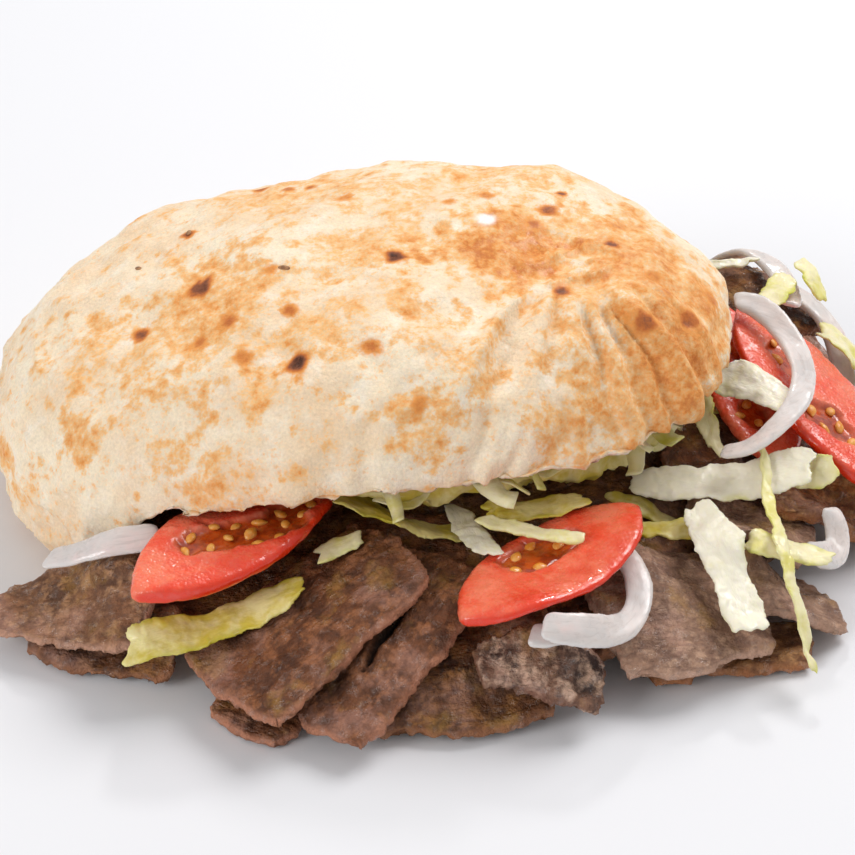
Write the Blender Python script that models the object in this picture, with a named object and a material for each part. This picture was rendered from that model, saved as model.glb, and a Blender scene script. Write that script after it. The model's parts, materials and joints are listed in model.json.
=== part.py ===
"""Doner kebab sandwich: a pocket of flatbread, open at the front and on the right, stuffed with carved
meat slices, half-moon tomato slices, onion rings and strips of lettuce.

The filling is built the way a cook builds it. A bed of meat lies on the bottom of the bread, and each
slice, ring and strip is then laid on whatever is already there, so that nothing overlaps. The salad that
fills the rest of the pocket comes last, and the bread closes over it.
"""

import math

import bmesh
import bpy
import numpy as np
from mathutils import Vector, noise
from mathutils.bvhtree import BVHTree

MM = 0.001

# The bread's plan is a superellipse about its centre. The front is -Y and the right is +X.
BREAD_CENTRE = (-18.5 * MM, 20 * MM)
BREAD_HALF_WIDTH = 101.5 * MM
BREAD_HALF_DEPTH = 73 * MM
BREAD_HEIGHT = 80 * MM
PLAN_POWER = 2.3
CRUST = 8.5 * MM
FLOOR = 9 * MM
BOTTOM_TRIM = 1.6 * MM

# The mouth is centred on this heading. It is fully open for OPEN_HALF either side and shut by SHUT_HALF.
MOUTH_HEADING = 312
OPEN_HALF = 78
SHUT_HALF = 108

# Height of the widest line of the dome at headings round the bread, in millimetres: the fold at the back
# and the left, the lip in front and on the right.
RIM_HEIGHTS = [
    (-160, 21), (-150, 22), (-131, 26.5), (-118, 31), (-105, 42), (-80, 45), (-58, 42), (-25, 45), (10, 43),
    (40, 38), (65, 33), (85, 26),
]
FOLD_RIM = 22
POCKET_REACH = 1.4

GAP = 0.45 * MM
STEEPEST = 0.45
PILE_CELL = 1 * MM
PILE_HALF_SIDE = 170 * MM

MEAT_THICK = 3.7 * MM
ONION_THICK = 2.3 * MM
ONION_BAND = 7.0 * MM
TOMATO_POINT = 0.68
LETTUCE_THICK = 1.1 * MM

# x, y, heading in degrees, length, width, roundness of the corners, taper along the length, softness,
# and how far the ends lift. All lengths are in millimetres, and the slices are in the order of laying.
MEAT_SLICES = [
    ("meat_lower_left", -82, -58, -24, 42, 22, 0.5, -0.15, 0.9, 0),
    ("meat_under_bit", -42, -83, -30, 24, 16, 0.6, 0.1, 0.9, 0),
    ("meat_lower_right", 76, -60, 7, 44, 18, 0.3, -0.1, 0.9, 0),
    ("meat_lip_inner", -2, -42, 4, 40, 26, 0.5, 0.0, 0.95, 0),
    ("meat_mid_shadow", 38, -56, 28, 36, 28, 0.5, 0.0, 0.95, 0),
    ("meat_front_middle", 9, -75, 4, 48, 32, 0.5, -0.1, 0.85, 0),
    ("meat_right_broad", 64, -56, 16, 45, 40, 0.4, -0.05, 0.8, 1),
    ("meat_right_end", 92, -48, 24, 30, 24, 0.6, 0.1, 0.85, 0),
    ("meat_right_upper", 85, -27, -14, 34, 26, 0.5, 0.0, 0.85, 0),
    ("meat_mouth_right", 76, 4, 80, 36, 22, 0.5, 0.0, 0.9, 0),
    ("meat_side_low", 113, 22, 62, 44, 30, 0.6, 0.1, 0.9, 0),
    ("meat_side_front", 110, -9, 8, 42, 26, 0.5, -0.2, 0.8, 1),
    ("meat_back_low", 104, 58, -48, 30, 22, 0.6, 0.0, 0.9, 0),
    ("meat_side_back", 91, 52, 30, 40, 28, 0.5, 0.0, 0.9, 0),
    ("meat_back_tip", 97, 87, -33, 28, 15, 0.7, 0.2, 0.7, 2),
    ("meat_left_tip", -89.5, -52.5, -9, 46, 28, 0.35, 0.25, 0.85, 0),
    ("meat_torn_right", -9, -73, 56, 56, 25, 0.3, 0.15, 0.8, 0),
    ("meat_torn_left", -29, -67, 40, 56, 36, 0.25, -0.1, 0.75, 0),
    ("meat_crisp", 28, -80, -3, 32, 15, 0.5, 0.2, 0.8, 1),
]

# x, y, mean radius across and along, first and last angle of the arc in degrees.
ONION_RINGS = [
    ("onion_left", -80, -17.6, 34, 31, 238, 292),
    ("onion_scrap", 28, -70, 9, 8, 250, 330),
    ("onion_middle", 32.5, -60.5, 21, 20.5, -104, 50),
    ("onion_side_low", 95, -30, 13, 11, -75, 35),
    ("onion_back_low", 93, 34, 25, 24, -10, 72),
    ("onion_back", 66, 46, 36, 38, -12, 72),
    ("onion_side", 83.5, 7.5, 17.5, 25.5, -112, 88),
]

# x, y, heading of the cut edge, half length, bulge of the skin side, bulge of the cut side, thickness. The
# skin is on the right of the heading.
TOMATO_SLICES = [
    ("tomato_front_left", -50, -43, 53, 37, 22, 13, 4.8),
    ("tomato_middle", 31, -57.5, 41, 30.5, 16, 15, 3.2),
    ("tomato_side_upper", 87, 18, 104, 30, 15, 11, 4.2),
    ("tomato_side_lower", 107, 10, -56, 35, 18, 16, 4.6),
]

# x, y, heading, length, width, bend in degrees from end to end, softness.
LETTUCE_STRIPS = [
    ("lettuce_under_tomato", -53, -69, 18, 46, 12, 8, 0.9),
    ("lettuce_corner", -22, -50, 30, 13, 8, 0, 0.9),
    ("lettuce_lip_left", -6, -40, 4, 36, 11, -12, 0.8),
    ("lettuce_lip_fall", 11, -44, -72, 26, 8, 20, 0.9),
    ("lettuce_lip_right", 27, -38, 6, 28, 10, 0, 0.8),
    ("lettuce_short_low", 61, -34, -14, 21, 8, -15, 0.9),
    ("lettuce_short_high", 57, -20, -24, 18, 6, 10, 0.9),
    ("lettuce_cross", 91, -45, -6, 24, 7, 10, 0.9),
    ("lettuce_side_pale", 96, -17, -12, 24, 7, 0, 0.9),
    ("lettuce_hollow", 76, 2, 102, 22, 5.5, 10, 0.9),
    ("lettuce_back_edge", 119, 33, -35, 22, 11, 0, 0.9),
    ("lettuce_long", 77, -18.5, -8, 48, 14, 14, 0.85),
    ("lettuce_broad", 75.5, -50.5, -75, 41, 12, -10, 0.85),
    ("lettuce_thin", 89.5, -43, -83, 64, 4, 24, 0.9),
    ("lettuce_fold", 88.5, 2, -40, 27, 11, -30, 0.85),
    ("lettuce_back_wisp", 86, 61, -5, 18, 4, 0, 0.9),
    ("lettuce_back_bits", 98, 42, 60, 18, 8, 20, 0.9),
    ("lettuce_back_curl", 108, 47, 100, 14, 7, 30, 0.9),
    ("lettuce_on_tomato", 26, -49.5, -16, 28, 5, 12, 0.9),
]

# name: red, green, blue, roughness
COLOURS = {
    "bread": (0.80, 0.60, 0.38, 0.85),
    "meat": (0.20, 0.11, 0.065, 0.45),
    "tomato": (0.72, 0.10, 0.04, 0.25),
    "onion": (0.80, 0.76, 0.70, 0.35),
    "lettuce": (0.62, 0.64, 0.28, 0.45),
}


def smooth_step(low, high, value):
    t = min(1.0, max(0.0, (value - low) / (high - low)))
    return t * t * (3 - 2 * t)


def turn_between(a, b):
    """The angle between two headings, in degrees."""
    return abs((a - b + 180) % 360 - 180)


# ---- the bread's surfaces, as functions of the heading and of the share of the way out to its edge


def bread_edge(angle):
    """Distance from the bread's centre to its edge at this angle."""
    c, s = abs(math.cos(angle)), abs(math.sin(angle))
    across = (c / BREAD_HALF_WIDTH) ** PLAN_POWER + (s / BREAD_HALF_DEPTH) ** PLAN_POWER
    wobble = 1 + 0.012 * math.sin(3 * angle + 0.6) + 0.008 * math.sin(7 * angle)
    return wobble * across ** (-1 / PLAN_POWER)


def mouth_open(angle, shut=SHUT_HALF):
    away = turn_between(math.degrees(angle), MOUTH_HEADING)
    return 1 - smooth_step(OPEN_HALF, shut, away)


def rim_height(angle):
    """Height of the widest line of the dome: the lip in front, the fold at the back."""
    stops = [(-180, FOLD_RIM)] + RIM_HEIGHTS + [(110, FOLD_RIM), (180, FOLD_RIM)]
    level = np.interp(math.degrees(angle), [s[0] for s in stops], [s[1] for s in stops]) * MM
    ripple = 1.0 * MM * math.sin(5 * angle + 1) + 0.8 * MM * math.sin(11 * angle)
    return float(level) + ripple * mouth_open(angle)


def dome_power(angle):
    """How boxy the dome is in this direction: it falls gently to the left, steeply to the back right."""
    away = turn_between(math.degrees(angle), 190)
    return 1.9 + 1.1 * smooth_step(10, 110, away)


def dome_height(share, angle):
    """Outer surface of the top half, with the dents of a baked and pressed crust."""
    rim = rim_height(angle)
    rise = max(0.0, 1 - share ** dome_power(angle)) ** 0.5
    reach = share * bread_edge(angle)
    x, y = reach * math.cos(angle), reach * math.sin(angle)
    dents = noise.noise(Vector((x, y, 0)) * 26 + Vector((3, 1, 0))) * 5 * MM
    dents += noise.noise(Vector((x, y, 0)) * 60) * 1.6 * MM
    lean = 7 * MM * x / BREAD_HALF_WIDTH
    return rim + (BREAD_HEIGHT - rim + dents + lean) * rise


def ceiling_height(share, angle):
    """Inner surface of the top half. Past the edge it runs on level, to cut the mouth."""
    rim = rim_height(angle)
    inner = share / inner_share(angle)
    rise = max(0.0, 1 - min(1.0, inner) ** dome_power(angle)) ** 0.5
    return rim + (dome_height(0, angle) - CRUST - rim) * rise


def inner_share(angle):
    return 1 - CRUST / bread_edge(angle)


def pocket_reach(angle):
    """How far out the pocket goes: to the fold's inner wall, or out through the mouth."""
    wall = inner_share(angle)
    return wall + (POCKET_REACH - wall) * mouth_open(angle, shut=OPEN_HALF + 20)


def polar(x, y):
    """(share of the way out to the bread's edge, angle) of a point."""
    dx, dy = x - BREAD_CENTRE[0], y - BREAD_CENTRE[1]
    angle = math.atan2(dy, dx)
    return math.hypot(dx, dy) / bread_edge(angle), angle


def ceiling_at(x, y):
    """The pocket's ceiling over a point, or 0 where there is no pocket."""
    share, angle = polar(x, y)
    return ceiling_height(share, angle) if share < pocket_reach(angle) - 0.02 else 0.0


def bed_edge(angle):
    """Distance from the bread's centre to the edge of the bed of meat."""
    out = bread_edge(angle)
    front = 20 * MM * math.exp(-((turn_between(math.degrees(angle), 272) / 46) ** 2))
    side = 26 * MM * math.exp(-((turn_between(math.degrees(angle), 352) / 46) ** 2))
    inside = 0.86 * out
    back = 36 * MM * math.exp(-((turn_between(math.degrees(angle), 33) / 22) ** 2))
    spilled = 0.97 * out + front + side + back
    return inside + (spilled - inside) * mouth_open(angle, shut=OPEN_HALF + 15)


def bed_height(share, angle):
    """Top of the bed of meat: level inside, falling to the table where it spills out."""
    edge = bed_edge(angle)
    run = (1 - share) * edge / (54 * MM)
    fall = math.sin(min(1.0, max(0.0, run)) * math.pi / 2) ** 1.1
    x = BREAD_CENTRE[0] + share * edge * math.cos(angle)
    y = BREAD_CENTRE[1] + share * edge * math.sin(angle)
    level = 20 * MM - 8 * MM * smooth_step(-35 * MM, -95 * MM, x)
    level += 6 * MM * smooth_step(30 * MM, 70 * MM, x) * smooth_step(0, 60 * MM, y)
    mound = math.exp(-((x - 92 * MM) ** 2 + (y - 60 * MM) ** 2) / (2 * (20 * MM) ** 2))
    lumps = noise.noise(Vector((x, y, 0)) * 70) * 2.2 * MM
    return (level + lumps) * fall + 14 * MM * mound * min(1.0, 2 * fall)


def slab_height(x, y):
    """Top of the bread's bottom half, or of the table beside it."""
    share, _ = polar(x, y)
    return FLOOR if share < 1.0 else 0.0


# ---- the pile: the height of everything that has been laid so far


class Pile:
    def __init__(self):
        self.side = int(2 * PILE_HALF_SIDE / PILE_CELL)
        ticks = (np.arange(self.side) + 0.5) * PILE_CELL - PILE_HALF_SIDE
        self.ticks = ticks
        self.heights = np.array([[slab_height(x, y) for y in ticks] for x in ticks])

    def add(self, obj):
        """Raises the pile to the top of an object that has been laid."""
        tree, low, high = tree_of(obj)
        span = [self.cells(low[axis], high[axis]) for axis in (0, 1)]
        for i in range(*span[0]):
            for j in range(*span[1]):
                above = Vector((self.ticks[i], self.ticks[j], 1))
                found = tree.ray_cast(above, Vector((0, 0, -1)))[0]
                if found is not None:
                    self.heights[i, j] = max(self.heights[i, j], found.z)

    def cells(self, low, high):
        first = int((low + PILE_HALF_SIDE) / PILE_CELL) - 1
        last = int((high + PILE_HALF_SIDE) / PILE_CELL) + 2
        return max(0, first), min(self.side, last)

    def under(self, points):
        """Height of the pile below each point, taken as the highest of the cells around it."""
        place = (points + PILE_HALF_SIDE) / PILE_CELL - 0.5
        base = np.floor(place).astype(int)
        tops = [
            self.heights[
                np.clip(base[..., 0] + i, 0, self.side - 1),
                np.clip(base[..., 1] + j, 0, self.side - 1),
            ]
            for i in (-1, 0, 1, 2)
            for j in (-1, 0, 1, 2)
        ]
        return np.max(tops, axis=0)


def tree_of(obj):
    bpy.context.view_layer.update()
    mesh = obj.data
    points = [obj.matrix_world @ v.co for v in mesh.vertices]
    faces = [tuple(p.vertices) for p in mesh.polygons]
    low = Vector([min(p[k] for p in points) for k in range(3)])
    high = Vector([max(p[k] for p in points) for k in range(3)])
    return BVHTree.FromPolygons(points, faces), low, high


def corner_shares(steps=7):
    """Weights of a triangle's three corners at points spread over it."""
    return np.array(
        [
            (i / steps, j / steps, (steps - i - j) / steps)
            for i in range(steps + 1)
            for j in range(steps + 1 - i)
        ]
    )


def clear_of(heights, faces, shares, needed, rounds=60):
    """Raises the corners of each face until no point of it is below what it needs to clear."""
    for _ in range(rounds):
        short = needed - heights[faces] @ shares.T
        worst = short.argmax(axis=1)
        lift = short[np.arange(len(faces)), worst]
        if lift.max() <= 0:
            break
        weights = shares[worst]
        raised = heights[faces] + (
            np.maximum(lift, 0)[:, None] * weights / (weights**2).sum(axis=1)[:, None]
        )
        np.maximum.at(heights, faces, raised)
    return heights + max(0.0, (needed - heights[faces] @ shares.T).max())


def lay(bm, pile, place, softness, lift=0.0):
    """Lowers an open sheet on to the pile: stiff at softness 0, following what is below at softness 1.

    The sheet is flat, in its own frame, and place is (x, y, heading). Lift raises its two ends.
    """
    bm.verts.ensure_lookup_table()
    own = np.array([v.co[:2] for v in bm.verts])
    turn = math.radians(place[2])
    spin = np.array([[math.cos(turn), math.sin(turn)], [-math.sin(turn), math.cos(turn)]])
    plan = own @ spin + np.array(place[:2])
    faces = np.array([[v.index for v in f.verts] for f in bm.faces])
    shares = corner_shares()
    spread = np.einsum("sk,fkc->fsc", shares, plan[faces])
    needed = pile.under(spread) + GAP

    curl = lift * (own[:, 0] / np.abs(own[:, 0]).max()) ** 2
    sides = np.column_stack([plan, np.ones(len(plan))])
    below = pile.under(plan) + GAP
    slope, *_ = np.linalg.lstsq(sides, below, rcond=None)
    slope[:2] *= min(1.0, STEEPEST / max(1e-9, math.hypot(slope[0], slope[1])))
    stiff = sides @ slope + curl
    stiff += (needed - stiff[faces] @ shares.T).max()

    soft = clear_of(below.copy(), faces, shares, needed)
    ends = [(e.verts[0].index, e.verts[1].index) for e in bm.edges]
    first, second = np.array(ends).T
    count = np.bincount(np.concatenate([first, second]), minlength=len(plan))
    for _ in range(6):
        total = np.bincount(first, soft[second], len(plan)) + np.bincount(
            second, soft[first], len(plan)
        )
        soft = clear_of(0.4 * soft + 0.6 * total / count, faces, shares, needed)
    heights = softness * soft + (1 - softness) * stiff
    for vertex, height in zip(bm.verts, heights):
        vertex.co.z = height


def thicken(bm, thick, top=None):
    """Closes the laid sheet into a solid by raising a copy of it. top gives a height for each place."""
    bm.normal_update()
    steep = {v.index: max(0.6, abs(v.normal.z)) for v in bm.verts}
    rise = {v.index: thick / steep[v.index] for v in bm.verts}
    raised = bmesh.ops.extrude_face_region(bm, geom=bm.faces[:])["geom"]
    upper = [g for g in raised if isinstance(g, bmesh.types.BMVert)]
    below = {(round(v.co.x, 7), round(v.co.y, 7)): rise[v.index] for v in bm.verts if v.index in rise}
    for vertex in upper:
        key = (round(vertex.co.x, 7), round(vertex.co.y, 7))
        vertex.co.z = vertex.co.z + below[key] if top is None else top(vertex.co)
    bmesh.ops.recalc_face_normals(bm, faces=bm.faces[:])


# ---- making objects


def material_for(kind):
    material = bpy.data.materials.get(kind) or bpy.data.materials.new(kind)
    material.use_nodes = True
    shader = material.node_tree.nodes["Principled BSDF"]
    red, green, blue, rough = COLOURS[kind]
    shader.inputs["Base Color"].default_value = (red, green, blue, 1)
    shader.inputs["Roughness"].default_value = rough
    shader.inputs["Metallic"].default_value = 0
    material.diffuse_color = (red, green, blue, 1)
    return material


def finish_object(name, bm, kind, collection, place=(0, 0, 0)):
    """Makes the object of a mesh that is drawn in its own frame at the plan position and heading."""
    base = min(v.co.z for v in bm.verts)
    for vertex in bm.verts:
        vertex.co.z -= base
    mesh = bpy.data.meshes.new(name)
    bm.to_mesh(mesh)
    bm.free()
    mesh.shade_smooth()
    mesh.set_sharp_from_angle(angle=math.radians(50))
    mesh.materials.append(material_for(kind))
    obj = bpy.data.objects.new(name, mesh)
    obj.location = (place[0], place[1], base)
    obj.rotation_euler.z = math.radians(place[2])
    collection.objects.link(obj)
    bpy.context.view_layer.update()
    return obj


def grid(along, across):
    """An open sheet of triangles over the square from -1 to 1."""
    bm = bmesh.new()
    bmesh.ops.create_grid(bm, x_segments=along, y_segments=across, size=1)
    bmesh.ops.triangulate(bm, faces=bm.faces[:])
    return bm


def laid_piece(name, bm, kind, collection, pile, place, thick, softness, lift=0.0):
    lay(bm, pile, place, softness, lift)
    thicken(bm, thick)
    obj = finish_object(name, bm, kind, collection, place)
    pile.add(obj)
    return obj


def meat_slice(row, collection, pile):
    """A carved slice: a rounded, tapered oblong with an uneven edge."""
    name, x, y, heading, length, width, roundness, taper, softness, lift = row
    bm = grid(7, 5)
    seed = Vector((x, y, length)) * 0.37
    for v in bm.verts:
        u, w = v.co.x, v.co.y
        along = u * math.sqrt(1 - roundness * w * w / 2)
        across = w * math.sqrt(1 - roundness * u * u / 2) * (1 + taper * u)
        edge = max(abs(u), abs(w)) ** 3
        along += edge * 0.10 * noise.noise(seed + Vector((u * 2, w * 2, 0)))
        across += edge * 0.16 * noise.noise(seed + Vector((u * 2, w * 2, 9)))
        v.co.x = along * length / 2 * MM
        v.co.y = across * width / 2 * MM
    place = (x * MM, y * MM, heading)
    return laid_piece(name, bm, "meat", collection, pile, place, MEAT_THICK, softness, lift * MM)


def onion_ring(row, collection, pile):
    """Part of one ring of a sliced onion, a flat band along an arc."""
    name, x, y, across, along, first, last = row
    length = math.radians(last - first) * (across + along) / 2
    bm = grid(max(5, round(length / 7)), 2)
    for v in bm.verts:
        angle = math.radians(first + (last - first) * (v.co.x + 1) / 2)
        band = v.co.y * ONION_BAND / 2
        v.co.x = (across * MM + band) * math.cos(angle)
        v.co.y = (along * MM + band) * math.sin(angle)
    place = (x * MM, y * MM, 0)
    return laid_piece(name, bm, "onion", collection, pile, place, ONION_THICK, 0.8)


def tomato_slice(row, collection, pile):
    """Half a slice: the skin makes the wide arc, and the knife the flatter side."""
    name, x, y, heading, half, skin, cut, thick = row
    bm = grid(10, 3)
    for v in bm.verts:
        u, w = v.co.x, (v.co.y + 1) / 2
        bow = max(0.0, 1 - u * u) ** TOMATO_POINT * 0.94 + 0.06
        v.co.x = half * MM * u
        v.co.y = MM * (cut * bow * w - skin * bow * (1 - w))
    place = (x * MM, y * MM, heading)
    return laid_piece(name, bm, "tomato", collection, pile, place, thick * MM, 0.3)


def lettuce_strip(row, collection, pile):
    """A shred of leaf: a narrow band with ragged sides that bends in plan."""
    name, x, y, heading, length, width, bend, softness = row
    bm = grid(max(4, round(length / 6)), 2)
    turn = math.radians(bend)
    seed = Vector((y, x, width)) * 0.41
    for v in bm.verts:
        u, w = v.co.x, v.co.y
        ragged = 1 + 0.35 * noise.noise(seed + Vector((u * length / 12, 0, w)))
        side = w * width / 2 * MM * ragged * (1 - 0.25 * u**4)
        angle = turn * u / 2
        reach = length / 2 * MM * u
        v.co.x = reach * math.cos(angle / 2) - side * math.sin(angle)
        v.co.y = reach * math.sin(angle / 2) + side * math.cos(angle)
    place = (x * MM, y * MM, heading)
    return laid_piece(
        name, bm, "lettuce", collection, pile, place, LETTUCE_THICK, softness, 1.0 * MM
    )


# ---- the two heaps and the bread


def disc(rings, spokes, edge):
    """An open round sheet about the bread's centre, out to edge(angle)."""
    bm = bmesh.new()
    bmesh.ops.create_grid(bm, x_segments=rings, y_segments=spokes, size=1)
    for v in bm.verts:
        u, w = v.co.x, v.co.y
        x, y = u * math.sqrt(1 - w * w / 2), w * math.sqrt(1 - u * u / 2)
        share, angle = math.hypot(x, y), math.atan2(y, x)
        v.co.x = BREAD_CENTRE[0] + share * edge(angle) * math.cos(angle)
        v.co.y = BREAD_CENTRE[1] + share * edge(angle) * math.sin(angle)
    bmesh.ops.triangulate(bm, faces=bm.faces[:])
    return bm


def meat_bed(collection, pile):
    """The heap of meat that runs through the sandwich, on the bottom bread and over its front edge."""
    bm = disc(15, 15, bed_edge)
    lay(bm, pile, (0, 0, 0), 1.0)
    lowest = 3 * MM

    def top(point):
        dx, dy = point.x - BREAD_CENTRE[0], point.y - BREAD_CENTRE[1]
        angle = math.atan2(dy, dx)
        share = math.hypot(dx, dy) / bed_edge(angle)
        return max(point.z + lowest, bed_height(share, angle))

    thicken(bm, lowest, top)
    obj = finish_object("meat_bed", bm, "meat", collection)
    pile.add(obj)


def salad_bed(collection, pile):
    """The salad that fills the pocket between the other filling and the top of the bread."""
    thinnest = 1.5 * MM

    def edge(angle):
        return bread_edge(angle) * (0.80 + 0.05 * mouth_open(angle))

    bm = disc(11, 11, edge)
    lay(bm, pile, (0, 0, 0), 0.9)

    def top(point):
        share, _ = polar(point.x, point.y)
        fullness = 1.0 - 0.25 * share
        return max(point.z + thinnest, (ceiling_at(point.x, point.y) - 2 * GAP) * fullness)

    thicken(bm, thinnest, top)
    obj = finish_object("salad_bed", bm, "lettuce", collection)
    pile.add(obj)


def ball(segments, rings):
    bm = bmesh.new()
    bmesh.ops.create_uvsphere(bm, u_segments=segments, v_segments=rings, radius=1)
    return bm


def pillow():
    """The outside of the closed bread: a flat-bottomed cushion."""
    bm = ball(56, 18)
    for v in bm.verts:
        angle = math.atan2(v.co.y, v.co.x)
        level = min(1.0, abs(v.co.z))
        round_share = math.sqrt(1 - level * level)
        if v.co.z >= -1e-6:
            share = round_share
            height = dome_height(share, angle)
        else:
            share = round_share**0.4
            height = max(0.0, rim_height(angle) * (1 - level**0.4) - BOTTOM_TRIM)
        reach = share * bread_edge(angle)
        v.co.x = BREAD_CENTRE[0] + reach * math.cos(angle)
        v.co.y = BREAD_CENTRE[1] + reach * math.sin(angle)
        v.co.z = height
    return bm


def pocket():
    """The space inside the bread, which runs out through the mouth."""
    bm = ball(56, 14)
    for v in bm.verts:
        angle = math.atan2(v.co.y, v.co.x)
        share = math.sqrt(1 - min(1.0, v.co.z**2)) * pocket_reach(angle)
        reach = share * bread_edge(angle)
        height = ceiling_height(share, angle) if v.co.z > 1e-6 else FLOOR
        v.co.x = BREAD_CENTRE[0] + reach * math.cos(angle)
        v.co.y = BREAD_CENTRE[1] + reach * math.sin(angle)
        v.co.z = height
    return bm


def bread(collection, cutters):
    body = finish_object("bread", pillow(), "bread", collection)
    space = finish_object("pocket_space", pocket(), "bread", cutters)
    space.hide_render = True
    space.display_type = "WIRE"
    cut = body.modifiers.new("pocket", "BOOLEAN")
    cut.operation = "DIFFERENCE"
    cut.object = space
    return body


def centre_on_origin(collection, cutters):
    """Moves the sandwich so that the middle of its footprint stands on the origin."""
    bpy.context.view_layer.update()
    corners = [o.matrix_world @ v.co for o in collection.objects for v in o.data.vertices]
    middle = [
        (min(c[k] for c in corners) + max(c[k] for c in corners)) / 2 for k in (0, 1)
    ]
    for obj in list(collection.objects) + list(cutters.objects):
        obj.location.x -= middle[0]
        obj.location.y -= middle[1]
    bpy.context.view_layer.update()
    print("centre moved by", [round(m * 1000, 1) for m in middle], "mm")


def main():
    for obj in list(bpy.data.objects):
        bpy.data.objects.remove(obj)
    collection = bpy.data.collections.new("doner_sandwich")
    cutters = bpy.data.collections.new("cutters")
    bpy.context.scene.collection.children.link(collection)
    bpy.context.scene.collection.children.link(cutters)

    pile = Pile()
    meat_bed(collection, pile)
    for row in MEAT_SLICES:
        meat_slice(row, collection, pile)
    onions = {row[0]: row for row in ONION_RINGS}
    tomatoes = {row[0]: row for row in TOMATO_SLICES}
    lettuces = {row[0]: row for row in LETTUCE_STRIPS}
    for name in ("onion_left", "onion_scrap", "onion_middle", "onion_side_low", "onion_back_low"):
        onion_ring(onions[name], collection, pile)
    for name in ("lettuce_under_tomato", "lettuce_corner", "lettuce_short_low", "lettuce_short_high"):
        lettuce_strip(lettuces.pop(name), collection, pile)
    for row in tomatoes.values():
        tomato_slice(row, collection, pile)
    onion_ring(onions["onion_back"], collection, pile)
    for row in lettuces.values():
        lettuce_strip(row, collection, pile)
    onion_ring(onions["onion_side"], collection, pile)
    salad_bed(collection, pile)
    bread(collection, cutters)
    centre_on_origin(collection, cutters)


main()
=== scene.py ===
import itertools
import json
import math
import random

import bmesh
import bpy
import numpy as np
from mathutils import Matrix, Vector
from mathutils.bvhtree import BVHTree

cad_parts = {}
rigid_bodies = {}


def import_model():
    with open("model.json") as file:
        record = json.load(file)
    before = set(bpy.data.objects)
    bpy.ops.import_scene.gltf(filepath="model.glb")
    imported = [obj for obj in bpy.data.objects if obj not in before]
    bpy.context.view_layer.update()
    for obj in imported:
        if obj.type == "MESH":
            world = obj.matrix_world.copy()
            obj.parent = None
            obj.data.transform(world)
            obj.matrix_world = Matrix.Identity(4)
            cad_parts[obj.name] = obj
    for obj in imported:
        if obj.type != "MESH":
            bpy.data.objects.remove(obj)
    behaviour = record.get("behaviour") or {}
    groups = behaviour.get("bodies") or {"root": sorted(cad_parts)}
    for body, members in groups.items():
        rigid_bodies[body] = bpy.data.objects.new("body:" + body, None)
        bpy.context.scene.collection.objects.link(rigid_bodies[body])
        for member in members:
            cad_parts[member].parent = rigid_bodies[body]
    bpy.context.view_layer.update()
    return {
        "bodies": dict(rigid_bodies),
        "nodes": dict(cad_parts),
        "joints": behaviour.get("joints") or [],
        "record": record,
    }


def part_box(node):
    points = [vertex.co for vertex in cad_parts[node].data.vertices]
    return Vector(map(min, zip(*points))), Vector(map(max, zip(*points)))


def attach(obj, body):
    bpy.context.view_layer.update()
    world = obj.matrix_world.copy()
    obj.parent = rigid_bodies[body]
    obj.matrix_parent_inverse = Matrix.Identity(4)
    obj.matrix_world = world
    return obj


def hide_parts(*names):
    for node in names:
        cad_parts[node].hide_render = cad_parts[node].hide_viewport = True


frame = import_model()
cadNodes = frame["nodes"]
breadLow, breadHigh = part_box("bread")
breadMiddle = (breadLow + breadHigh) / 2
breadSize = breadHigh - breadLow
mm = 0.001


# small tools for shapes

hashPrimes = (374761393, 668265263, 2246822519, 3266489917)
kindNames = {"meat": "meatSlice", "tomato": "tomatoSlice", "onion": "onionRing", "lettuce": "lettuceStrip"}
turned = np.array(Matrix.Rotation(0.9, 3, Vector((1, 2, 3)).normalized()))  # hides the noise's grid


def cellValues(cells, seed):
    # a number from 0 to 1 for each whole-numbered cell, the same on every run
    mixed = np.full(len(cells), (seed * hashPrimes[3]) % 2**32, np.uint64)
    for axis in range(3):
        mixed = (mixed ^ (cells[:, axis].astype(np.uint64) * hashPrimes[axis])) & 0xFFFFFFFF
        mixed = (mixed * hashPrimes[2]) & 0xFFFFFFFF
        mixed ^= mixed >> 15
    return mixed / 2**32


def lumps(points, size, seed, octaves=2):
    # soft noise from -1 to 1 with lumps of the given size
    total = np.zeros(len(points))
    weight = 0.0
    spots = points / size + 50
    for octave in range(octaves):
        spots = spots @ turned
        cells = np.floor(spots).astype(np.int64)
        part = spots - cells
        part = part * part * (3 - 2 * part)
        share = 0.5**octave
        for corner in itertools.product((0, 1), repeat=3):
            near = np.prod(np.where(corner, part, 1 - part), axis=1)
            total += share * near * (cellValues(cells + corner, seed + octave) * 2 - 1)
        weight += share
        spots = spots * 2
    return total / weight * 1.6


def ridges(points, size, seed):
    # narrow crests, 0 to 1
    return np.clip(1 - 2.2 * np.abs(lumps(points, size, seed, 1)), 0, 1) ** 1.5


def ease(low, high, value):
    t = np.clip((value - low) / (high - low), 0, 1)
    return t * t * (3 - 2 * t)


def pointsOf(mesh):
    points = np.empty(len(mesh.vertices) * 3)
    mesh.vertices.foreach_get("co", points)
    return points.reshape(-1, 3)


def normalsOf(mesh):
    normals = np.empty(len(mesh.vertices) * 3)
    mesh.vertex_normals.foreach_get("vector", normals)
    return normals.reshape(-1, 3)


def edgesOf(mesh):
    edges = np.empty(len(mesh.edges) * 2, np.int64)
    mesh.edges.foreach_get("vertices", edges)
    return edges.reshape(-1, 2)


def addObject(name, data):
    made = bpy.data.objects.new(name, data)
    bpy.context.scene.collection.objects.link(made)
    return made


def setPoints(mesh, points):
    mesh.vertices.foreach_set("co", points.ravel())
    mesh.update()


def lengthsOf(rows):
    return np.linalg.norm(rows, axis=1)


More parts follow.
